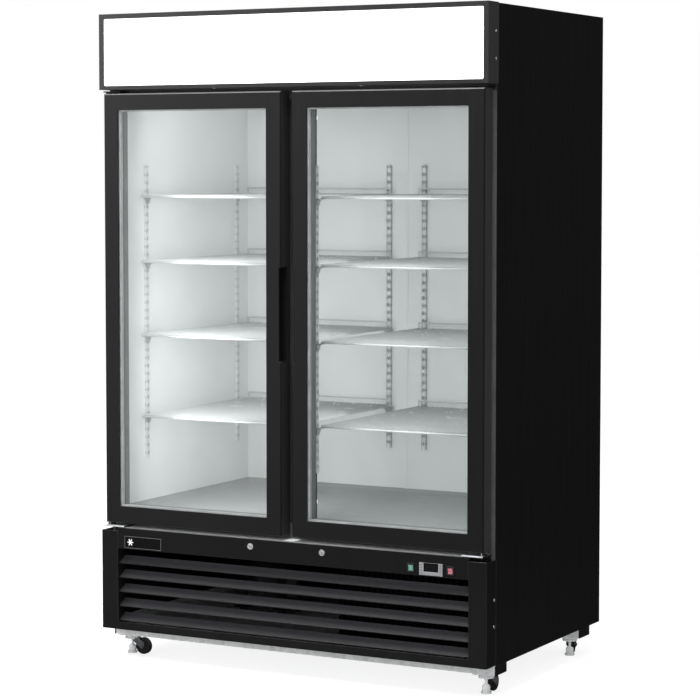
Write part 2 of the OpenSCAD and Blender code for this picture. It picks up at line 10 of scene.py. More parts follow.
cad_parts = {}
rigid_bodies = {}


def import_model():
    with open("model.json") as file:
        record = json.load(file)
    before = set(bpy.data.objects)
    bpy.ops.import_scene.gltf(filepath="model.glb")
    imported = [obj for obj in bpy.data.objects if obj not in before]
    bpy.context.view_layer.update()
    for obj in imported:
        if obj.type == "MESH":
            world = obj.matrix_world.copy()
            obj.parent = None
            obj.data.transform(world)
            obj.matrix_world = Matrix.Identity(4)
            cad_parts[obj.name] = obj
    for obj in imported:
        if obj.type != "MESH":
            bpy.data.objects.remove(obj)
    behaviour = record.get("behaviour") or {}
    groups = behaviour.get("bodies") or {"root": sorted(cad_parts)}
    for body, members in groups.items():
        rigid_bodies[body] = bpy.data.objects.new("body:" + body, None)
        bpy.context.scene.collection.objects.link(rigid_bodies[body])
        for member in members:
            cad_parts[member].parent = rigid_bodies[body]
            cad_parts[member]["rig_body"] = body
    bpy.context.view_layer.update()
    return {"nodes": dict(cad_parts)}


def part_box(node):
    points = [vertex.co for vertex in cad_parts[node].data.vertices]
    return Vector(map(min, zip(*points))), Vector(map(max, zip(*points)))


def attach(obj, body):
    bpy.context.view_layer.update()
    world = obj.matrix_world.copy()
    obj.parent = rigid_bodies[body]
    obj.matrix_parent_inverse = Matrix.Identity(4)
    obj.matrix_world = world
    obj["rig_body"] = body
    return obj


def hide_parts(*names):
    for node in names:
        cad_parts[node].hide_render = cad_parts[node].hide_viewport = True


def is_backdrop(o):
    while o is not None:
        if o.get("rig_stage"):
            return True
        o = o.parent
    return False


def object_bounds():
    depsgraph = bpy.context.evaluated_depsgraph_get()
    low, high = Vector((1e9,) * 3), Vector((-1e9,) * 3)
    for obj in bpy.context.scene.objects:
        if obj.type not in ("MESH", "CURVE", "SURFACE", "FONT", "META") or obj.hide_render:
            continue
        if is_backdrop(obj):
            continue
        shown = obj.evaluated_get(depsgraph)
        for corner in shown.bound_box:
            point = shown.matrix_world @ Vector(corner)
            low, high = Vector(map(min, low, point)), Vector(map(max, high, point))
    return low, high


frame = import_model()
scene = bpy.context.scene
NODES = frame["nodes"]
CORNERS = ("fl", "fr", "rl", "rr")
SIDES = ((-1, "left"), (1, "right"))
# Y of the cabinet's front plane in the frame, in metres
FRONT = -0.4215


# ---------- camera: fitted to the photo, with most of its downward shift turned into tilt ----------

lens_data = bpy.data.cameras.new("camera")
lens_data.sensor_width = 36.0
lens_data.lens = 122.3
lens_data.shift_y = -0.05
lens_data.clip_end = 200.0
camera = bpy.data.objects.new("camera", lens_data)
camera.location = (3.5078, -6.5229, 1.5308)
camera.rotation_euler = (math.radians(90 - 3.595), 0.0, math.radians(28.341))
scene.collection.objects.link(camera)
scene.camera = camera


# ---------- node helper ----------


class Nodes:
    """A material's node tree, with patterns in the object's own coordinates in metres."""

    def __init__(self, name):
        self.mat = bpy.data.materials.new(name)
        self.mat.use_nodes = True
        self.tree = self.mat.node_tree
        self.tree.nodes.clear()
        self.out = self.add("ShaderNodeOutputMaterial")
        self.pos = self.add("ShaderNodeTexCoord").outputs["Object"]

    def add(self, kind, **props):
        node = self.tree.nodes.new(kind)
        for key, value in props.items():
            setattr(node, key, value)
        return node

    def put(self, socket, value):
        if isinstance(value, bpy.types.NodeSocket):
            self.tree.links.new(value, socket)
        elif value is not None:
            if socket.type == "RGBA" and len(value) == 3:
                value = (*value, 1.0)
            socket.default_value = value

    def stretched(self, scale):
        node = self.add("ShaderNodeMapping")
        self.put(node.inputs["Vector"], self.pos)
        node.inputs["Scale"].default_value = scale
        return node.outputs["Vector"]

    def noise(self, scale, detail=3.0, rough=0.5, vec=None):
        node = self.add("ShaderNodeTexNoise")
        self.put(node.inputs["Vector"], vec or self.pos)
        node.inputs["Scale"].default_value = scale
        node.inputs["Detail"].default_value = detail
        node.inputs["Roughness"].default_value = rough
        return node.outputs["Fac"]

    def cells(self, scale, out="Color"):
        node = self.add("ShaderNodeTexVoronoi")
        self.put(node.inputs["Vector"], self.pos)
        node.inputs["Scale"].default_value = scale
        return node.outputs[out]

    def axis(self, index):
        node = self.add("ShaderNodeSeparateXYZ")
        self.put(node.inputs[0], self.pos)
        return node.outputs[index]

    def math(self, op, a, b=0.5, c=0.5):
        node = self.add("ShaderNodeMath", operation=op)
        for socket, value in zip(node.inputs, (a, b, c)):
            self.put(socket, value)
        return node.outputs[0]

    def remap(self, value, a, b, lo, hi):
        node = self.add("ShaderNodeMapRange")
        for socket, item in zip(node.inputs, (value, a, b, lo, hi)):
            self.put(socket, item)
        return node.outputs[0]

    def mix(self, fac, a, b):
        node = self.add("ShaderNodeMix", data_type="RGBA")
        self.put(node.inputs[0], fac)
        self.put(node.inputs[6], a)
        self.put(node.inputs[7], b)
        return node.outputs[2]

    def grey(self, colour):
        node = self.add("ShaderNodeRGBToBW")
        self.put(node.inputs[0], colour)
        return node.outputs[0]

    def bump(self, height, strength, distance, below=None):
        node = self.add("ShaderNodeBump")
        node.inputs["Strength"].default_value = strength
        node.inputs["Distance"].default_value = distance
        self.put(node.inputs["Height"], height)
        if below is not None:
            self.put(node.inputs["Normal"], below)
        return node.outputs[0]

    def shade(self, **sockets):
        node = self.add("ShaderNodeBsdfPrincipled")
        for key, value in sockets.items():
            self.put(node.inputs[key.replace("_", " ")], value)
        self.tree.links.new(node.outputs[0], self.out.inputs["Surface"])
        return self.mat


def times(colour, k):
    return tuple(min(c * k, 1.0) for c in colour)


def paint(name, colour, rough=0.42, level=0.5, tone=0.12, peel=0.3, coat=0.0):
    """Powder coat: faint orange peel, uneven gloss, a little dust low down."""
    n = Nodes(name)
    cloud = n.noise(2.2, 4.0, 0.55)
    fleck = n.noise(1600.0, 1.0)
    base = n.mix(n.remap(cloud, 0.3, 0.7, 0.0, 1.0), times(colour, 1 - tone), times(colour, 1 + tone))
    base = n.mix(n.remap(fleck, 0.35, 0.65, 0.0, 0.22), base, times(colour, 1.5))
    dust = n.math("MULTIPLY", n.remap(n.axis(2), 0.02, 0.42, 0.025, 0.0), n.noise(14.0, 5.0))
    base = n.mix(dust, base, (0.16, 0.15, 0.14))
    streak = n.noise(60.0, 4.0, 0.6, n.stretched((1.0, 1.0, 0.06)))
    gloss = n.remap(streak, 0.3, 0.7, rough - 0.05, rough + 0.06)
    gloss = n.math("ADD", gloss, n.math("MULTIPLY", dust, 1.2))
    skin = n.bump(n.noise(420.0, 2.0), peel, 0.00025)
    skin = n.bump(cloud, 0.05, 0.004, skin)
    return n.shade(
        Base_Color=base,
        Roughness=gloss,
        Normal=skin,
        Specular_IOR_Level=level,
        Coat_Weight=coat,
        Coat_Roughness=0.18,
    )


def plastic(name, colour, rough=0.45, level=0.5, grain=0.35, tone=0.10, dark_from=None):
    """Moulded plastic: fine spark-eroded grain with soft handling marks; darker above dark_from."""
    n = Nodes(name)
    cloud = n.noise(18.0, 4.0)
    base = n.mix(n.remap(cloud, 0.3, 0.7, 0.0, 1.0), times(colour, 1 - tone), times(colour, 1 + tone))
    scuff = n.remap(n.noise(120.0, 5.0, 0.7), 0.60, 0.75, 0.0, 0.25)
    base = n.mix(scuff, base, times(colour, 1.9))
    if dark_from:
        base = n.mix(n.remap(n.axis(2), dark_from, dark_from + 0.01, 0.0, 1.0), base, times(colour, 0.15))
    gloss = n.remap(n.noise(35.0, 4.0), 0.3, 0.7, rough - 0.06, rough + 0.07)
    skin = n.bump(n.cells(2600.0, out="Distance"), grain, 0.00012)
    skin = n.bump(n.noise(300.0, 3.0), 0.15, 0.0002, skin)
    return n.shade(Base_Color=base, Roughness=gloss, Normal=skin, Specular_IOR_Level=level)


def zinc(name, colour, rough=0.24, streaks=(1.0, 1.0, 1.0), spangle=0.0, metal=1.0):
    """Plated or galvanised steel: streaky gloss, cloudy tone, crystals where spangle is set."""
    n = Nodes(name)
    cloud = n.noise(26.0, 5.0, 0.6)
    base = n.mix(n.remap(cloud, 0.3, 0.7, 0.0, 1.0), times(colour, 0.80), times(colour, 1.08))
    gloss = n.remap(n.noise(240.0, 4.0, 0.6, n.stretched(streaks)), 0.3, 0.7, rough - 0.06, rough + 0.10)
    if spangle:
        crystal = n.grey(n.cells(spangle))
        base = n.mix(0.45, base, n.mix(crystal, times(colour, 0.62), times(colour, 1.15)))
        gloss = n.math("ADD", gloss, n.remap(crystal, 0.0, 1.0, -0.04, 0.12))
    spot = n.remap(n.noise(90.0, 6.0, 0.75), 0.62, 0.78, 0.0, 0.5)
    base = n.mix(spot, base, times(colour, 0.5))
    skin = n.bump(n.noise(300.0, 3.0, 0.6, n.stretched(streaks)), 0.12, 0.0002)
    return n.shade(Base_Color=base, Roughness=gloss, Normal=skin, Metallic=metal)


def slat_paint():
    """Charcoal slats with painted light: dark at the front edge and paler further in, which cancels the shade
    that the slat above casts on each slat's rear.
    """
    n = Nodes("slat_charcoal_painted_light")
    # Painted light: darkened along the front edge, lightened towards the rear where the slat above throws
    # shade.
    depth = n.remap(n.axis(1), FRONT + 0.008, FRONT + 0.042, 0.0, 1.0)
    base = n.mix(depth, (0.0062, 0.0060, 0.0070), (0.060, 0.058, 0.067))
    base = n.mix(n.remap(n.noise(30.0, 5.0, 0.6), 0.3, 0.7, 0.0, 0.18), base, (0.02, 0.02, 0.02))
    gloss = n.remap(n.noise(60.0, 4.0), 0.3, 0.7, 0.46, 0.58)
    skin = n.bump(n.noise(420.0, 2.0), 0.3, 0.00025)
    return n.shade(Base_Color=base, Roughness=gloss, Normal=skin, Specular_IOR_Level=0.35)


def ledge_steel_painted_light():
    """Plated strip with painted light: pale under the doors, where shade falls, and dark along the open front
    lip, which the lamps light.
    """
    n = Nodes("ledge_steel_painted_light")
    # Painted light: dark at the lit front lip, pale deeper under the doors.
    depth = n.remap(n.axis(1), FRONT + 0.002, FRONT + 0.022, 0.0, 1.0)
    grain = n.noise(240.0, 4.0, 0.6, n.stretched((0.1, 1.0, 1.0)))
    base = n.mix(depth, (0.078, 0.081, 0.082), (0.90, 0.92, 0.92))
    base = n.mix(n.remap(grain, 0.3, 0.7, 0.0, 0.3), base, (0.10, 0.10, 0.10))
    gloss = n.remap(grain, 0.3, 0.7, 0.40, 0.55)
    return n.shade(Base_Color=base, Roughness=gloss, Metallic=0.1, Normal=n.bump(grain, 0.1, 0.0002))


def sheet_white(name, colour, rough=0.38, tone=0.03, wave=0.0006, smear=0.05):
    """White coated sheet: slow undulation, faint smears and a soft gloss."""
    n = Nodes(name)
    cloud = n.noise(1.7, 3.0)
    base = n.mix(n.remap(cloud, 0.3, 0.7, 0.0, 1.0), times(colour, 1 - tone), times(colour, 1 + tone))
    marks = n.remap(n.noise(9.0, 3.0, 0.5, n.stretched((1.0, 1.0, 0.35))), 0.45, 0.75, 0.0, smear)
    base = n.mix(marks, base, times(colour, 0.6))
    gloss = n.remap(n.noise(22.0, 5.0), 0.3, 0.7, rough - 0.07, rough + 0.08)
    skin = n.bump(n.noise(2.6, 1.0), 0.4, wave)
    skin = n.bump(n.noise(700.0, 2.0), 0.08, 0.0001, skin)
    return n.shade(Base_Color=base, Roughness=gloss, Normal=skin)


def window(name, tint, streak=0.02):
    """Pane that passes light straight on and mirrors more at a grazing angle, with faint wiping marks."""
    n = Nodes(name)
    clear = n.add("ShaderNodeBsdfTransparent")
    wiped = n.remap(n.noise(5.0, 5.0, 0.65, n.stretched((1.0, 1.0, 0.5))), 0.35, 0.75, 0.0, 1.0)
    n.put(clear.inputs["Color"], n.mix(wiped, tint, times(tint, 1 - streak)))
    mirror = n.add("ShaderNodeBsdfGlossy")
    n.put(mirror.inputs["Color"], (1.0, 1.0, 1.0))
    n.put(mirror.inputs["Roughness"], n.remap(wiped, 0.0, 1.0, 0.01, 0.06))
    edge_on = n.math("POWER", n.add("ShaderNodeLayerWeight").outputs["Facing"], 5.0)
    blend = n.add("ShaderNodeMixShader")
    n.put(blend.inputs[0], n.math("MULTIPLY_ADD", edge_on, 0.96, 0.036))
    n.put(blend.inputs[1], clear.outputs[0])
    n.put(blend.inputs[2], mirror.outputs[0])
    n.put(n.out.inputs["Surface"], blend.outputs[0])
    return n.mat


def lit(name, colour, power, rough=0.3):
    """Translucent white plastic lit from behind, a touch uneven along its length."""
    n = Nodes(name)
    glow = n.remap(n.noise(1.3, 2.0), 0.3, 0.7, power * 0.97, power * 1.03)
    gloss = n.remap(n.noise(30.0, 4.0), 0.3, 0.7, rough - 0.05, rough + 0.05)
    base = n.mix(n.noise(40.0), colour, times(colour, 0.97))
    return n.shade(Base_Color=base, Roughness=gloss, Emission_Color=(1.0, 1.0, 1.0), Emission_Strength=glow)


def lens(name, colour, glow):
    """Tinted rocker lens: slightly cloudy, under a clear coat, with a faint lamp behind it."""
    n = Nodes(name)
    base = n.mix(n.remap(n.noise(160.0, 2.0), 0.3, 0.7, 0.0, 1.0), times(colour, 0.85), times(colour, 1.15))
    gloss = n.remap(n.noise(90.0, 3.0), 0.3, 0.7, 0.14, 0.26)
    return n.shade(
        Base_Color=base, Roughness=gloss, Emission_Color=base, Emission_Strength=glow, Coat_Weight=0.5
    )


def slotted(name, colour, pitch, start):
    """Zinc channels with painted shade: darker round each slot and, on the rear channels, on the bent sides
    beside a bright face; the side channels are a little darker overall.
    """
    n = Nodes(name)
    rear_from, rear_middle = 0.33, 0.064
    side_tone, slot_middle, slot_half = 0.80, 0.76, 0.17
    rear = n.math("GREATER_THAN", n.axis(1), rear_from)
    across = n.math("ABSOLUTE", n.math("SUBTRACT", n.math("ABSOLUTE", n.axis(0)), rear_middle))
    step = n.math("FRACT", n.math("DIVIDE", n.math("SUBTRACT", n.axis(2), start), pitch))
    # Painted shade: a dark band round each slot, stronger on the rear channels.
    slot = n.math("LESS_THAN", n.math("ABSOLUTE", n.math("SUBTRACT", step, slot_middle)), slot_half)
    slot = n.math("MULTIPLY", slot, n.remap(rear, 0.0, 1.0, 0.25, 0.55))
    # Painted shade on the rear channels' bent sides.
    rim = n.math("MULTIPLY", rear, n.remap(across, 0.0036, 0.0050, 0.0, 0.5))
    base = n.mix(rear, times(colour, side_tone), colour)
    base = n.mix(n.noise(60.0, 4.0), base, n.mix(0.5, base, times(colour, 0.8)))
    base = n.mix(slot, base, times(colour, 0.2))
    base = n.mix(rim, base, times(colour, 0.25))
    return n.shade(Base_Color=base, Roughness=n.remap(n.noise(90.0), 0.3, 0.7, 0.38, 0.50))


def fins(name, colour, pitch):
    """Thin aluminium fins, edge on along X, with painted shade in the gaps between them."""
    n = Nodes(name)
    wave = n.math("SINE", n.math("MULTIPLY", n.axis(0), 2 * math.pi / pitch))
    # Painted shade: the colour darkens in the gaps between fins.
    base = n.mix(n.remap(wave, -1.0, 0.6, 0.0, 1.0), times(colour, 0.25), colour)
    base = n.mix(n.remap(n.noise(12.0, 5.0), 0.45, 0.7, 0.0, 0.35), base, times(colour, 0.55))
    gloss = n.remap(n.noise(40.0), 0.3, 0.7, 0.3, 0.5)
    return n.shade(Base_Color=base, Roughness=gloss, Metallic=0.85, Normal=n.bump(wave, 0.6, 0.0006))


# Numbers after the colour, in order: paint has roughness, specular level, tone and orange peel; plastic
# has roughness, specular level, grain and tone; zinc has roughness, streak direction, crystal scale and
# metallic share; sheet_white has roughness, tone, waviness and smears.
M = {
    "shell": paint("shell_black", (0.0042, 0.0038, 0.0040), 0.46, 0.26, 0.10, 0.25),
    # Lighter copy of the shell paint on the rounded edges: a painted highlight.
    "shell_edge": paint("shell_edge", (0.030, 0.029, 0.029), 0.38, 0.6, 0.15, 0.1),
    "front": paint("front_black", (0.0040, 0.0040, 0.0042), 0.38, 0.22, 0.12, 0.25),
    # Lighter copy of the front paint on the rounded edges: a painted highlight.
    "front_edge": paint("front_edge", (0.014, 0.014, 0.0145), 0.34, 0.7, 0.1, 0.1),
    "door": paint("door_black", (0.0050, 0.0050, 0.0052), 0.34, 0.33, 0.10, 0.18),
    # Lighter copy of the door paint for the top chamfers: a painted highlight.
    "door_edge": paint("door_edge", (0.096, 0.096, 0.099), 0.40, 0.6, 0.1, 0.0),
    # Lighter copy of the black paint for side faces: painted light.
    "door_side": paint("door_side", (0.024, 0.0225, 0.023), 0.40, 0.5, 0.1, 0.15),
    "sealing": plastic("sealing_grey", (0.064, 0.062, 0.062), 0.55, 0.35, dark_from=1.74),
    "reveal": plastic("reveal_grey", (0.172, 0.179, 0.182), 0.5, 0.4, 0.2),
    "sign_black": paint("sign_black", (0.0100, 0.0100, 0.0104), 0.36, 0.55, 0.12, 0.2),
    "slat": slat_paint(),
    # The mullion's black is lightened: painted light in the shade between the doors.
    "jamb": plastic("jamb_black_painted_light", (0.022, 0.022, 0.022), 0.50, 0.35),
    "grip": plastic("grip_black", (0.005, 0.005, 0.005), 0.55, 0.3),
    "black": plastic("moulded_black", (0.008, 0.008, 0.008), 0.42, 0.45),
    "cap": plastic("end_cap_black", (0.006, 0.006, 0.006), 0.5, 0.35),
    "tyre": plastic("wheel_black", (0.007, 0.007, 0.0075), 0.45, 0.45, 0.5, 0.2),
    "gasket": plastic("gasket_black", (0.012, 0.012, 0.013), 0.62, 0.35, 0.2),
    "fan": plastic("fan_black", (0.020, 0.020, 0.022), 0.45),
    "liner": sheet_white("liner_white", (0.815, 0.830, 0.832)),
    "cover": sheet_white("cover_white", (0.82, 0.835, 0.835), 0.34),
    "pan": sheet_white("floor_pan_grey", (0.335, 0.347, 0.349), 0.58, 0.03, 0.0, 0.02),
    "wire": sheet_white("wire_white", (0.60, 0.611, 0.614), 0.22, 0.02, 0.0),
    "galv": zinc("galvanised", (0.70, 0.72, 0.72), 0.40, (0.2, 1.0, 1.0), 95.0, 0.45),
    "ledge": ledge_steel_painted_light(),
    "plate": zinc("plate_zinc", (0.45, 0.46, 0.475), 0.34, (0.3, 1.0, 1.0), 0.0, 0.35),
    "zinc": zinc("zinc_bright", (0.80, 0.81, 0.82), 0.24, (0.3, 1.0, 1.0), 0.0, 0.8),
    "rail": slotted("rail_zinc", (0.88, 0.90, 0.90), 0.025, 0.608),
    "clip": zinc("clip_zinc", (0.50, 0.52, 0.53), 0.40, (1.0, 1.0, 1.0), 0.0, 0.5),
    "fork": zinc("fork_zinc", (0.80, 0.81, 0.82), 0.20, (1.0, 1.0, 1.0), 0.0, 0.45),
    "foot": zinc("foot_steel", (0.84, 0.85, 0.86), 0.18, (1.0, 1.0, 1.0), 0.0, 0.4),
    "spacer": zinc("spacer_aluminium", (0.37, 0.378, 0.381), 0.42, (1.0, 1.0, 0.1), 0.0, 0.0),
    "bezel": zinc("bezel_silver", (0.21, 0.213, 0.218), 0.42, (1.0, 1.0, 1.0), 0.0, 0.2),
    "key": plastic("key_grey", (0.115, 0.117, 0.120), 0.5, 0.4, 0.1),
    "border": zinc("badge_border", (0.13, 0.13, 0.132), 0.40, (1.0, 1.0, 1.0), 0.0, 0.2),
    "steel_dark": zinc("steel_dark", (0.10, 0.105, 0.11), 0.38, (1.0, 1.0, 1.0), 0.0, 0.5),
    "enamel": paint("compressor_black", (0.010, 0.010, 0.011), 0.22, 0.5, 0.1, 0.5, coat=0.4),
    "coil": fins("coil_fins", (0.62, 0.64, 0.65), 0.0028),
    "coil_black": fins("condenser_fins", (0.010, 0.0105, 0.011), 0.0028),
    "badge": plastic("badge_black", (0.002, 0.002, 0.002), 0.30, 0.2, 0.05),
    "display": plastic("display_black", (0.003, 0.003, 0.0035), 0.10, 0.6, 0.02),
    "foam": plastic("foam_cream", (0.62, 0.52, 0.28), 0.8, 0.2, 0.8),
    "glass": window("door_pane", (0.982, 0.988, 0.987)),
    "sign": lit("sign_lit", (0.95, 0.95, 0.95), 1.25),
    "tube": lit("lamp_tube", (0.92, 0.94, 0.96), 2.0),
    "green": lens("rocker_green_lens", (0.080, 0.195, 0.160), 0.22),
    "red": lens("rocker_red_lens", (0.27, 0.085, 0.105), 0.22),
    "mark": plastic("mark_white", (0.75, 0.75, 0.75), 0.4, 0.5, 0.05),
    "recess": plastic("recess_painted_shade", (0.004, 0.004, 0.004), 0.7, 0.1, 0.1),
}


# ---------- mesh helpers ----------


def finish_mesh(name, bm, mats, body, stands_for=()):
    """Turns a bmesh into a piece that rides on a body and may stand for CAD nodes."""
    bmesh.ops.recalc_face_normals(bm, faces=bm.faces)
    mesh = bpy.data.meshes.new(name)
    bm.to_mesh(mesh)
    bm.free()
    for key in mats:
        mesh.materials.append(M[key])
    obj = bpy.data.objects.new(name, mesh)
    scene.collection.objects.link(obj)
    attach(obj, body)
    if stands_for:
        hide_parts(*stands_for)
    return obj


def body_named(node):
    return NODES[node]["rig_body"]


# Shorter edges than this stay sharp, in metres
SHORT_EDGE = 0.0035


def soften(node, width, mats, zone=None):
    """A copy of a CAD node with its long sharp edges rounded; rounded faces take the second material.
    zone gives a face another of the materials by its centre and normal."""
    bm = bmesh.new()
    bm.from_mesh(NODES[node].data)
    bmesh.ops.remove_doubles(bm, verts=bm.verts, dist=1e-5)
    bmesh.ops.dissolve_limit(bm, angle_limit=math.radians(0.6), verts=bm.verts, edges=bm.edges)
    for face in bm.faces:
        face.normal_update()
        face.material_index = zone(face.calc_center_median(), face.normal) if zone else 0
        angles = [e.calc_face_angle(0.0) for e in face.edges if len(e.link_faces) == 2]
        face.smooth = any(0.01 < a < 0.5 for a in angles)
    sharp = [e for e in bm.edges if len(e.link_faces) == 2 and e.calc_face_angle(0.0) > 0.5]
    for edge in sharp:
        edge.smooth = False
    if width:
        made = bmesh.ops.bevel(
            bm,
            geom=[e for e in sharp if e.calc_length() > SHORT_EDGE],
            offset=width,
            offset_type="OFFSET",
            segments=2,
            profile=0.5,
            affect="EDGES",
            clamp_overlap=True,
        )
        for face in made["faces"]:
            face.smooth = True
            face.normal_update()
            kind = zone(face.calc_center_median(), face.normal) if zone else 0
            face.material_index = max(kind, 1 if len(mats) > 1 else 0)
    return finish_mesh(f"{node}_visual", bm, mats, body_named(node), (node,))


def ring(bm, centre, across, up, radius, sides):
    """Circle of vertices round a centre, in the plane of two unit vectors."""
    turns = [2 * math.pi * k / sides for k in range(sides)]
    return [bm.verts.new(centre + radius * (math.cos(t) * across + math.sin(t) * up)) for t in turns]


def skin_over(bm, rings):
    """Smooth faces from each ring of vertices to the next; a ring may be a single point."""
    for a, b in zip(rings, rings[1:]):
        for k in range(max(len(a), len(b))):
            corners = []
            for v in (a[k % len(a)], a[(k + 1) % len(a)], b[(k + 1) % len(b)], b[k % len(b)]):
                if v not in corners:
                    corners.append(v)
            bm.faces.new(corners).smooth = True


def across_and_up(ahead):
    """Two unit vectors square to a direction."""
    across = ahead.cross(Vector((0.31, 0.17, 0.93))).normalized()
    return across, across.cross(ahead)


def tube(bm, path, radius, sides):
    """Round bar along a path of points, closed at both ends."""
    rings = []
    for i, point in enumerate(path):
        ahead = (path[min(i + 1, len(path) - 1)] - path[max(i - 1, 0)]).normalized()
        rings.append(ring(bm, point, *across_and_up(ahead), radius, sides))
    skin_over(bm, rings)
    for end in (rings[0], rings[-1]):
        bm.faces.new(end)


def rod(bm, a, b, radius, sides):
    """Round bar between two points with domed ends."""
    a, b = Vector(a), Vector(b)
    ahead = (b - a).normalized()
    across, up = across_and_up(ahead)
    dome, tip_r = ahead * (radius * 0.45), radius * 0.55
    places = ((a, tip_r), (a + dome, radius), (b - dome, radius), (b, tip_r))
    rings = [ring(bm, point, across, up, r, sides) for point, r in places]
    skin_over(bm, rings)
    for end in (rings[0], rings[-1]):
        bm.faces.new(end)


def lathe(bm, profile, place, sides):
    """Turned shape: profile of (radius, height) about +Z, put in place by a matrix."""
    turns = [2 * math.pi * k / sides for k in range(sides)]
    rings = []
    for r, h in profile:
        points = [(r * math.cos(t), r * math.sin(t), h) for t in turns] if r else [(0.0, 0.0, h)]
        rings.append([bm.verts.new(place @ Vector(p)) for p in points])
    skin_over(bm, rings)


def block(bm, lo, hi, mat=0, place=None, round_by=0.0):
    """Box between two corners, with rounded edges where round_by is set."""
    lo, hi = Vector(lo), Vector(hi)
    made = bmesh.ops.create_cube(bm, size=1.0)
    verts = made["verts"]
    for v in verts:
        v.co = Vector(((lo[i] + hi[i]) / 2 + v.co[i] * (hi[i] - lo[i])) for i in range(3))
    faces = {f for v in verts for f in v.link_faces}
    if round_by:
        edges = {e for v in verts for e in v.link_edges}
        made = bmesh.ops.bevel(
            bm,
            geom=list(edges),
            offset=round_by,
            offset_type="OFFSET",
            segments=3,
            profile=0.5,
            affect="EDGES",
            clamp_overlap=True,
        )
        faces = {f for f in faces if f.is_valid} | set(made["faces"])
        for face in made["faces"]:
            face.smooth = True
    for face in faces:
        face.material_index = mat
    if place is not None:
        moved = {v for f in faces for v in f.verts}
        for v in moved:
            v.co = place @ v.co


def facing(point, normal):
    """Matrix that puts +Z along normal at point."""
    return Matrix.Translation(Vector(point)) @ Vector(normal).to_track_quat("Z", "Y").to_matrix().to_4x4()


# ---------- CAD nodes that keep their shape ----------

KEPT = {
    "foam_insulation": "foam",
    "sign_panel": "sign",
    "led_tubes": "tube",
    "door_glass_left": "glass",
    "door_glass_right": "glass",
    "glass_spacer_left": "spacer",
    "glass_spacer_right": "spacer",
    "shelf_standards": "rail",
    "shelf_clips": "clip",
    "evaporator_coil": "coil",
    "evaporator_fan": "fan",
    "condenser_coil": "coil_black",
    "condenser_fan": "fan",
    "fan_motors": "steel_dark",
    "fan_shroud": "steel_dark",
    "rear_grille": "front",
    "lock_cylinder_left": "zinc",
    "lock_cylinder_right": "zinc",
    "lock_housings": "zinc",
    **{f"caster_wheel_{c}": "tyre" for c in CORNERS},
    **{f"levelling_foot_{c}": "foot" for c in CORNERS},
}
for node, key in KEPT.items():
    slots = NODES[node].data.materials
    slots.clear()
    slots.append(M[key])

# ---------- CAD nodes with rounded edges ----------

SOFT = {
    "outer_cabinet": (0.0005, "shell", "shell_edge"),
    "inner_liner": (0.0, "liner"),
    "face_frame": (0.0010, "sealing", "sealing"),
    "centre_mullion": (0.003, "jamb", "jamb"),
    "base_frame": (0.0006, "galv", "galv"),
    "channel_end_caps": (0.0012, "cap", "cap"),
    "sign_frame": (0.0006, "sign_black", "front_edge", "door_side"),
    "control_fascia": (0.0006, "front", "front_edge"),
    "ledge_plate": (0.0006, "ledge", "ledge"),
    "louvre_panel": (0.0006, "front", "front_edge", "slat"),
    "badge_plate": (0.0004, "badge", "badge"),
    "controller": (0.0010, "bezel", "bezel"),
    "rocker_housings": (0.0006, "black", "black"),
    "rocker_green": (0.0006, "green", "green"),
    "rocker_red": (0.0006, "red", "red"),
    "hinge_brackets": (0.0008, "plate", "plate", "black"),
    "door_frame_left": (0.0008, "door", "door", "reveal", "door_side", "door_edge"),
    "door_frame_right": (0.0008, "door", "door", "reveal", "door_side", "door_edge"),
    "grip_handle_left": (0.0006, "grip", "grip"),
    "grip_handle_right": (0.0006, "grip", "grip"),
    "evaporator_cover": (0.0005, "cover", "cover"),
    "compressor": (0.0010, "enamel", "enamel"),
    "power_inlet": (0.0008, "black", "black"),
    "caster_plates": (0.0006, "fork", "fork"),
    **{f"caster_fork_{c}": (0.0004, "fork", "fork", "steel_dark") for c in CORNERS},
}


def slat_zone(centre, normal):
    """Slats are charcoal; posts and bottom bar are black."""
    inside = abs(centre.x) < 0.55 and centre.y > FRONT + 0.003 and centre.z > 0.110
    return 2 if inside else 0


def door_zone(centre, normal):
    """The chamfer along the top takes a lighter paint as a painted highlight; the stile sides turned to +X take
    a lighter paint as painted light; the reveal behind the glass is grey.
    """
    # Painted highlight on the top chamfer.
    if 0.5 < abs(normal.y) < 0.9 and normal.z > 0.3:
        return 4
    # Painted light: the stile sides turned to +X take the lighter side paint.
    if normal.x > 0.9 and (abs(centre.x) < 0.03 or abs(centre.x) > 0.63):
        return 3
    reveal = centre.y > FRONT + 0.032 and abs(normal.y) < 0.1 and 0.07 < abs(centre.x) < 0.60
    return 2 if reveal else 0


def fork_zone(centre, normal):
    """Arms below the swivel race are darker than the race."""
    return 2 if centre.z < 0.0455 and abs(normal.z) < 0.9 else 0


def hinge_zone(centre, normal):
    """Upper plates, bushings and bolts are black, and the lower plates' side faces dark; the rest of the lower
    plates is zinc.
    """
    return 2 if abs(normal.x) > 0.12 or centre.z < 0.411 or centre.z > 1.0 else 0


def sign_zone(centre, normal):
    """Side flanges take the lighter side paint: painted light."""
    return 2 if abs(normal.x) > 0.9 and abs(centre.x) > 0.65 else 0


ZONES = {
    "hinge_brackets": hinge_zone,
    "sign_frame": sign_zone,
    "louvre_panel": slat_zone,
    "door_frame_left": door_zone,
    "door_frame_right": door_zone,
    **{f"caster_fork_{c}": fork_zone for c in CORNERS},
}
for node, (width, *mats) in SOFT.items():
    soften(node, width, mats, ZONES.get(node))

# ---------- wire shelves: thin wires front to back, on five rods and two side rods ----------

SHELF_LEVELS = (0.746, 1.000, 1.230, 1.434)
WIRE_PITCH = 0.0172
WIRE_R, ROD_R, STOP_R = 0.0020, 0.0030, 0.0025
RODS = 5
STOP_LIFT = 0.022

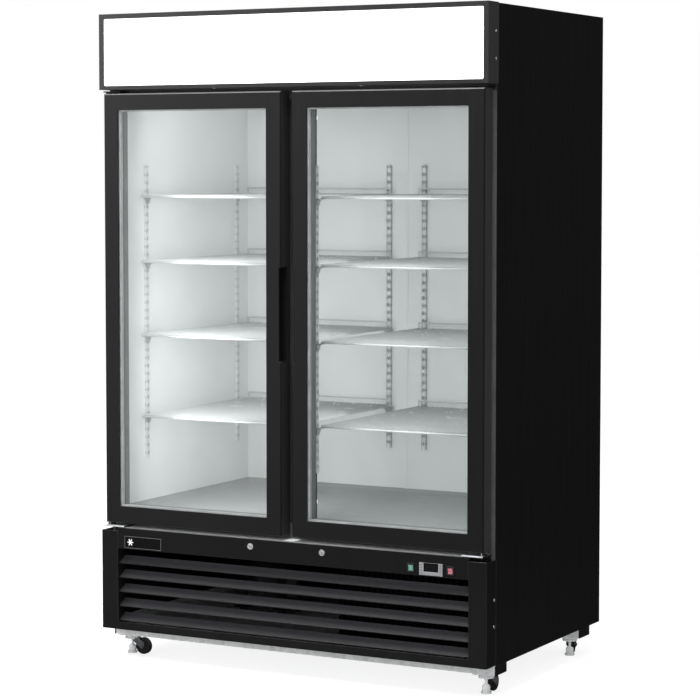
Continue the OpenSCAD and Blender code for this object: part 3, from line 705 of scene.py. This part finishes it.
for side, label in SIDES:
    lo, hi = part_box(f"shelves_{label}")
    x0, x1 = sorted((lo.x * side, hi.x * side))
    y0, y1 = lo.y, hi.y
    inset = 0.005
    gaps = round((x1 - x0 - 2 * inset) / WIRE_PITCH)
    back = y1 - ROD_R
    bm = bmesh.new()
    for level in SHELF_LEVELS:
        top = level + 0.0042
        for i in range(gaps + 1):
            x = side * (x0 + inset + (x1 - x0 - 2 * inset) * i / gaps)
            rod(bm, (x, y0, top), (x, y1, top), WIRE_R, 8)
        for i in range(RODS):
            y = y0 + ROD_R + (y1 - y0 - 2 * ROD_R) * i / (RODS - 1)
            rod(bm, (side * x0, y, level), (side * x1, y, level), ROD_R, 12)
        rod(bm, (side * x0, back, level + STOP_LIFT), (side * x1, back, level + STOP_LIFT), STOP_R, 12)
        for x in (side * (x0 + ROD_R), side * (x1 - ROD_R)):
            rod(bm, (x, y0 + ROD_R, level), (x, back, level), ROD_R, 12)
            rod(bm, (x, back, level), (x, back, level + STOP_LIFT + STOP_R), STOP_R, 12)
    finish_mesh(f"wire_shelves_{label}", bm, ("wire",), "cabinet", (f"shelves_{label}",))

# ---------- inside of the cabinet ----------

IN_X, IN_FRONT, IN_BACK, IN_FLOOR, IN_TOP = 0.604, -0.344, 0.3735, 0.460, 1.945
SEAM_HALF = 0.0035

bm = bmesh.new()
seam_lo = (-SEAM_HALF, IN_BACK - 0.0015, IN_FLOOR + 0.012)
seam_hi = (SEAM_HALF, IN_BACK + 0.0002, IN_TOP - 0.002)
block(bm, seam_lo, seam_hi, round_by=0.0006)
finish_mesh("back_wall_seam", bm, ("liner",), "cabinet")

# Floor pan with turned-up, coved edges: distance from the wall and height along its rim.
PAN_RIM = (
    (0.045, 0.0008),
    (0.021, 0.0008),
    (0.012, 0.0025),
    (0.005, 0.0065),
    (0.0014, 0.014),
    (0.0014, 0.0165),
    (0.0002, 0.0165),
)
bm = bmesh.new()
rings = []
for off_wall, height in PAN_RIM:
    x, front, back = IN_X - off_wall, IN_FRONT + off_wall, IN_BACK - off_wall
    corners = ((-x, front), (x, front), (x, back), (-x, back))
    rings.append([bm.verts.new((*corner, IN_FLOOR + height)) for corner in corners])
bm.faces.new(rings[0])
for a, b in zip(rings, rings[1:]):
    for k in range(4):
        bm.faces.new((a[k], a[(k + 1) % 4], b[(k + 1) % 4], b[k]))
finish_mesh("floor_pan", bm, ("pan",), "cabinet")

# ---------- door gaskets: bellows profile swept round each door ----------


def frame_sweep(bm, lo, hi, profile):
    """Sweeps (inset, depth) points round the rectangle lo..hi in the XZ plane, mitred at the corners."""
    rings = []
    for inset, y in profile:
        x0, x1, z0, z1 = lo.x + inset, hi.x - inset, lo.z + inset, hi.z - inset
        rings.append([bm.verts.new(p) for p in ((x0, y, z0), (x1, y, z0), (x1, y, z1), (x0, y, z1))])
    for i, a in enumerate(rings):
        b = rings[(i + 1) % len(rings)]
        for k in range(4):
            bm.faces.new((a[k], a[(k + 1) % 4], b[(k + 1) % 4], b[k]))


# Inset from the gasket's outer edge, and share of its thickness from front to back.
BELLOWS = (
    (0.0035, 0.0),
    (0.0035, 0.3),
    (0.0, 0.45),
    (0.0, 0.85),
    (0.0010, 1.0),
    (0.0125, 1.0),
    (0.0140, 0.8),
    (0.0115, 0.5),
    (0.0140, 0.25),
    (0.0105, 0.0),
)
for side, label in SIDES:
    lo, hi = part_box(f"door_gasket_{label}")
    bm = bmesh.new()
    frame_sweep(bm, lo, hi, [(inset, lo.y + share * (hi.y - lo.y)) for inset, share in BELLOWS])
    gasket = f"door_gasket_{label}"
    finish_mesh(f"gasket_bellows_{label}", bm, ("gasket",), f"door_{label}", (gasket,))

# ---------- screws: dark crosses standing in for the recesses on the flanges, plain domes under the sign ---

FLANGE_X = 0.660
SCREW_Y = FRONT + 0.051
SCREW_LEVELS = (1.834, 1.912, 0.207, 0.285)
FLANGE_HEAD = ((0.0, 0.0017), (0.0022, 0.00165), (0.0036, 0.0012), (0.0044, 0.0005), (0.0045, 0.0))
SIGN_HEAD = ((0.0, 0.0024), (0.0030, 0.0023), (0.0052, 0.0017), (0.0060, 0.0006), (0.0060, 0.0))
SLOT_LONG, SLOT_THIN = 0.0022, 0.0004

bm = bmesh.new()
for side in (-1, 1):
    for level in SCREW_LEVELS:
        place = facing((side * FLANGE_X, SCREW_Y, level), (side, 0, 0))
        lathe(bm, FLANGE_HEAD, place, 24)
        # The cross recesses are dark blocks on the heads: painted shade, not cut in.
        for x, y in ((SLOT_LONG, SLOT_THIN), (SLOT_THIN, SLOT_LONG)):
            block(bm, (-x, -y, 0.0012), (x, y, 0.00175), 1, place)
for side in (-1, 1):
    lathe(bm, SIGN_HEAD, facing((side * 0.250, FRONT + 0.009, 1.763), (0, 0, -1)), 24)
finish_mesh("panel_screw_heads", bm, ("zinc", "recess"), "cabinet", ("panel_screws",))

# ---------- controls ----------

CONTROL_X, CONTROL_Z = 0.4835, 0.3675

bm = bmesh.new()
window_lo = (CONTROL_X - 0.0235, FRONT - 0.0031, CONTROL_Z - 0.0076)
window_hi = (CONTROL_X + 0.0235, FRONT - 0.0021, CONTROL_Z + 0.0176)
block(bm, window_lo, window_hi, round_by=0.0004)
finish_mesh("controller_window", bm, ("display",), "cabinet")

# Two columns of four keys, almost flush with the bezel.
KEY_OUT, KEY_PITCH, KEY_W, KEY_H = 0.0308, 0.0078, 0.0032, 0.0024
bm = bmesh.new()
for side in (-1, 1):
    for k in range(4):
        x = CONTROL_X + side * KEY_OUT
        z = CONTROL_Z - 0.012 + k * KEY_PITCH
        key_lo = (x - KEY_W, FRONT - 0.00405, z - KEY_H)
        key_hi = (x + KEY_W, FRONT - 0.0035, z + KEY_H)
        block(bm, key_lo, key_hi, round_by=0.0002)
finish_mesh("controller_keys", bm, ("key",), "cabinet")

# Unlit seven-segment digits on the window: bars across at three heights, and uprights at both sides.
BAR_LONG, BAR_THIN = 0.0022, 0.0005
BAR_UP, SIDE_OUT, SIDE_UP = 0.0062, 0.003, 0.0031
DIGIT_PITCH = 0.0115
SEGMENTS = [(0.0, z, BAR_LONG, BAR_THIN) for z in (BAR_UP, 0.0, -BAR_UP)]
SEGMENTS += [(x, z, BAR_THIN, BAR_LONG) for z in (SIDE_UP, -SIDE_UP) for x in (-SIDE_OUT, SIDE_OUT)]
bm = bmesh.new()
for digit in range(3):
    for dx, dz, half_w, half_h in SEGMENTS:
        x = CONTROL_X - 0.0135 + digit * DIGIT_PITCH + dx
        z = CONTROL_Z + 0.0045 + dz
        block(bm, (x - half_w, FRONT - 0.00325, z - half_h), (x + half_w, FRONT - 0.00305, z + half_h))
finish_mesh("controller_digits", bm, ("black",), "cabinet")

# On and off marks on the rockers: a bar above and a ring below, on the two halves of the tilted face.
ROCKER_TILT = math.radians(9)
HALF_TILT = math.radians(11.2)


def rocker_half(tilt, up):
    """Matrix of the upper (1) or lower (-1) half of a rocker's face."""
    return tilt @ Matrix.Translation((0, -0.00552, up * 0.0046)) @ Matrix.Rotation(-up * HALF_TILT, 4, "X")


for x, label in ((0.417, "green"), (0.5445, "red")):
    tilt = Matrix.Translation((x, FRONT + 0.004, CONTROL_Z)) @ Matrix.Rotation(ROCKER_TILT, 4, "X")
    upper, lower = rocker_half(tilt, 1), rocker_half(tilt, -1)
    bm = bmesh.new()
    block(bm, (-0.0004, -0.0001, -0.0018), (0.0004, 0.0001, 0.0018), place=upper)
    turns = [2 * math.pi * k / 20 for k in range(21)]
    tube(bm, [lower @ Vector((0.0016 * math.cos(t), 0, 0.0016 * math.sin(t))) for t in turns], 0.00028, 6)
    finish_mesh(f"rocker_marks_{label}", bm, ("mark",), f"rocker_{label}")

# Thin silver border on the blank badge.
lo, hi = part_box("badge_plate")
OUTER, INNER, HALF_THICK = 0.0008, 0.0020, 0.0003
border = ((OUTER, HALF_THICK), (OUTER, -HALF_THICK), (INNER, -HALF_THICK), (INNER, HALF_THICK))
bm = bmesh.new()
frame_sweep(bm, lo, hi, [(inset, lo.y + depth) for inset, depth in border])
finish_mesh("badge_border", bm, ("border",), "cabinet")

# Plain six-armed star at the badge's left end: three crossed bars, each a little prouder than the last.
star = Vector((lo.x + 0.022, lo.y - 0.0002, (lo.z + hi.z) / 2))
bm = bmesh.new()
for k in range(3):
    turn = Matrix.Translation(star) @ Matrix.Rotation(math.radians(60 * k), 4, "Y")
    block(bm, (-0.0105, -0.0003 - 0.00004 * k, -0.0014), (0.0105, 0.0002, 0.0014), place=turn)
finish_mesh("badge_star", bm, ("mark",), "cabinet")

# ---------- lights ----------


def area(name, place, target, size, radiance, shown=True):
    """Area light aimed at a target; radiance is per unit of its surface, shown lets surfaces mirror it."""
    data = bpy.data.lights.new(name, "AREA")
    data.shape = "RECTANGLE"
    data.size, data.size_y = size
    data.energy = radiance * math.pi * size[0] * size[1]
    lamp = bpy.data.objects.new(name, data)
    lamp.location = place
    lamp.rotation_euler = (Vector(target) - Vector(place)).to_track_quat("-Z", "Y").to_euler()
    lamp.visible_camera = False
    lamp.visible_glossy = shown
    scene.collection.objects.link(lamp)


area("key", (-4.4, -3.8, 3.0), (0, 0, 1.4), (2.4, 2.2), 3.6)
area("top", (-0.9, -1.2, 4.4), (-0.2, -0.3, 1.5), (4.4, 2.6), 12.0)
area("fill", (3.2, -4.6, 1.7), (-0.4, 0.1, 1.1), (1.6, 1.6), 5.5, False)
area("front_soft", (-0.4, -6.0, 1.5), (-0.3, 0.0, 1.1), (2.0, 2.0), 3.6, False)
# Pale card that the left door's glass mirrors
area("card", (-2.1, -3.07, 0.92), (-2.1, 0.0, 0.92), (1.07, 2.05), 0.72)

# The inside is evenly lit: in each bay one light faces the side wall and one the back wall, and
# another comes from the right-hand side wall.
BAY_Z, BAY_TALL = 1.10, 1.20
for side, outward, x, inward in ((-1, 0.80, 0.34, 2.30), (1, 0.34, 0.30, 0.98)):
    by_mullion, by_wall = (side * 0.035, -0.13, BAY_Z), (side * 0.60, -0.13, BAY_Z)
    area(f"bay_side_{side}", by_mullion, by_wall, (0.36, BAY_TALL), outward, False)
    by_door, by_back = (side * x, -0.325, BAY_Z), (side * x, 0.37, BAY_Z)
    area(f"bay_front_{side}", by_door, by_back, (0.26, BAY_TALL), inward, False)
area("bay_wall", (0.59, 0.02, BAY_Z), (0.0, 0.02, BAY_Z), (0.60, BAY_TALL), 0.5, False)

# ---------- floor ----------

bm = bmesh.new()
bmesh.ops.create_grid(bm, x_segments=4, y_segments=4, size=40.0)
mesh = bpy.data.meshes.new("floor")
bm.to_mesh(mesh)
bm.free()
n = Nodes("floor_pale")
mesh.materials.append(
    n.shade(
        Base_Color=n.mix(n.noise(0.8, 4.0), (0.31, 0.31, 0.31), (0.33, 0.33, 0.33)),
        Roughness=n.remap(n.noise(3.0), 0.3, 0.7, 0.6, 0.8),
        Emission_Color=(1.0, 1.0, 1.0),
        Emission_Strength=0.76,
    )
)
floor = bpy.data.objects.new("floor", mesh)
floor.location.z = -0.0002
floor.visible_glossy = False
scene.collection.objects.link(floor)
floor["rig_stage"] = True

# ---------- world: white to the camera, soft white light, and a dim room for mirrored rays ----------

world = bpy.data.worlds.new("studio")
scene.world = world
world.use_nodes = True
tree = world.node_tree
tree.nodes.clear()


def grey(value):
    return (value, value, value, 1.0)


def world_node(kind, *inputs):
    """Node of the world with its first inputs joined to sockets or set to values."""
    node = tree.nodes.new(kind)
    for socket, value in zip(node.inputs, inputs):
        if isinstance(value, bpy.types.NodeSocket):
            tree.links.new(value, socket)
        else:
            socket.default_value = value
    return node


def sky(colour, strength):
    return world_node("ShaderNodeBackground", colour, strength).outputs[0]


ray = world_node("ShaderNodeLightPath").outputs
along = world_node("ShaderNodeSeparateXYZ", world_node("ShaderNodeTexCoord").outputs["Generated"]).outputs
# The mirrored room darkens from the front to the back, and again below the horizon
room = world_node("ShaderNodeValToRGB", world_node("ShaderNodeMapRange", along[1], -1.0).outputs[0])
stops = room.color_ramp.elements
stops[0].color = grey(0.16)
stops[1].color = grey(0.04)
stops[1].position = 0.8
stops.new(0.5).color = grey(0.12)
lower = world_node("ShaderNodeMapRange", along[2], -0.30, 0.10, 0.12)

mirrored = sky(room.outputs[0], lower.outputs[0])
unseen = world_node("ShaderNodeMixShader", ray["Is Glossy Ray"], sky(grey(1.0), 0.90), mirrored)
seen = world_node("ShaderNodeMixShader", ray["Is Camera Ray"], unseen.outputs[0], sky(grey(1.0), 1.0))
world_node("ShaderNodeOutputWorld", seen.outputs[0])

scene.view_settings.view_transform = "Standard"

# ---------- sizes ----------

lo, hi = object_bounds()
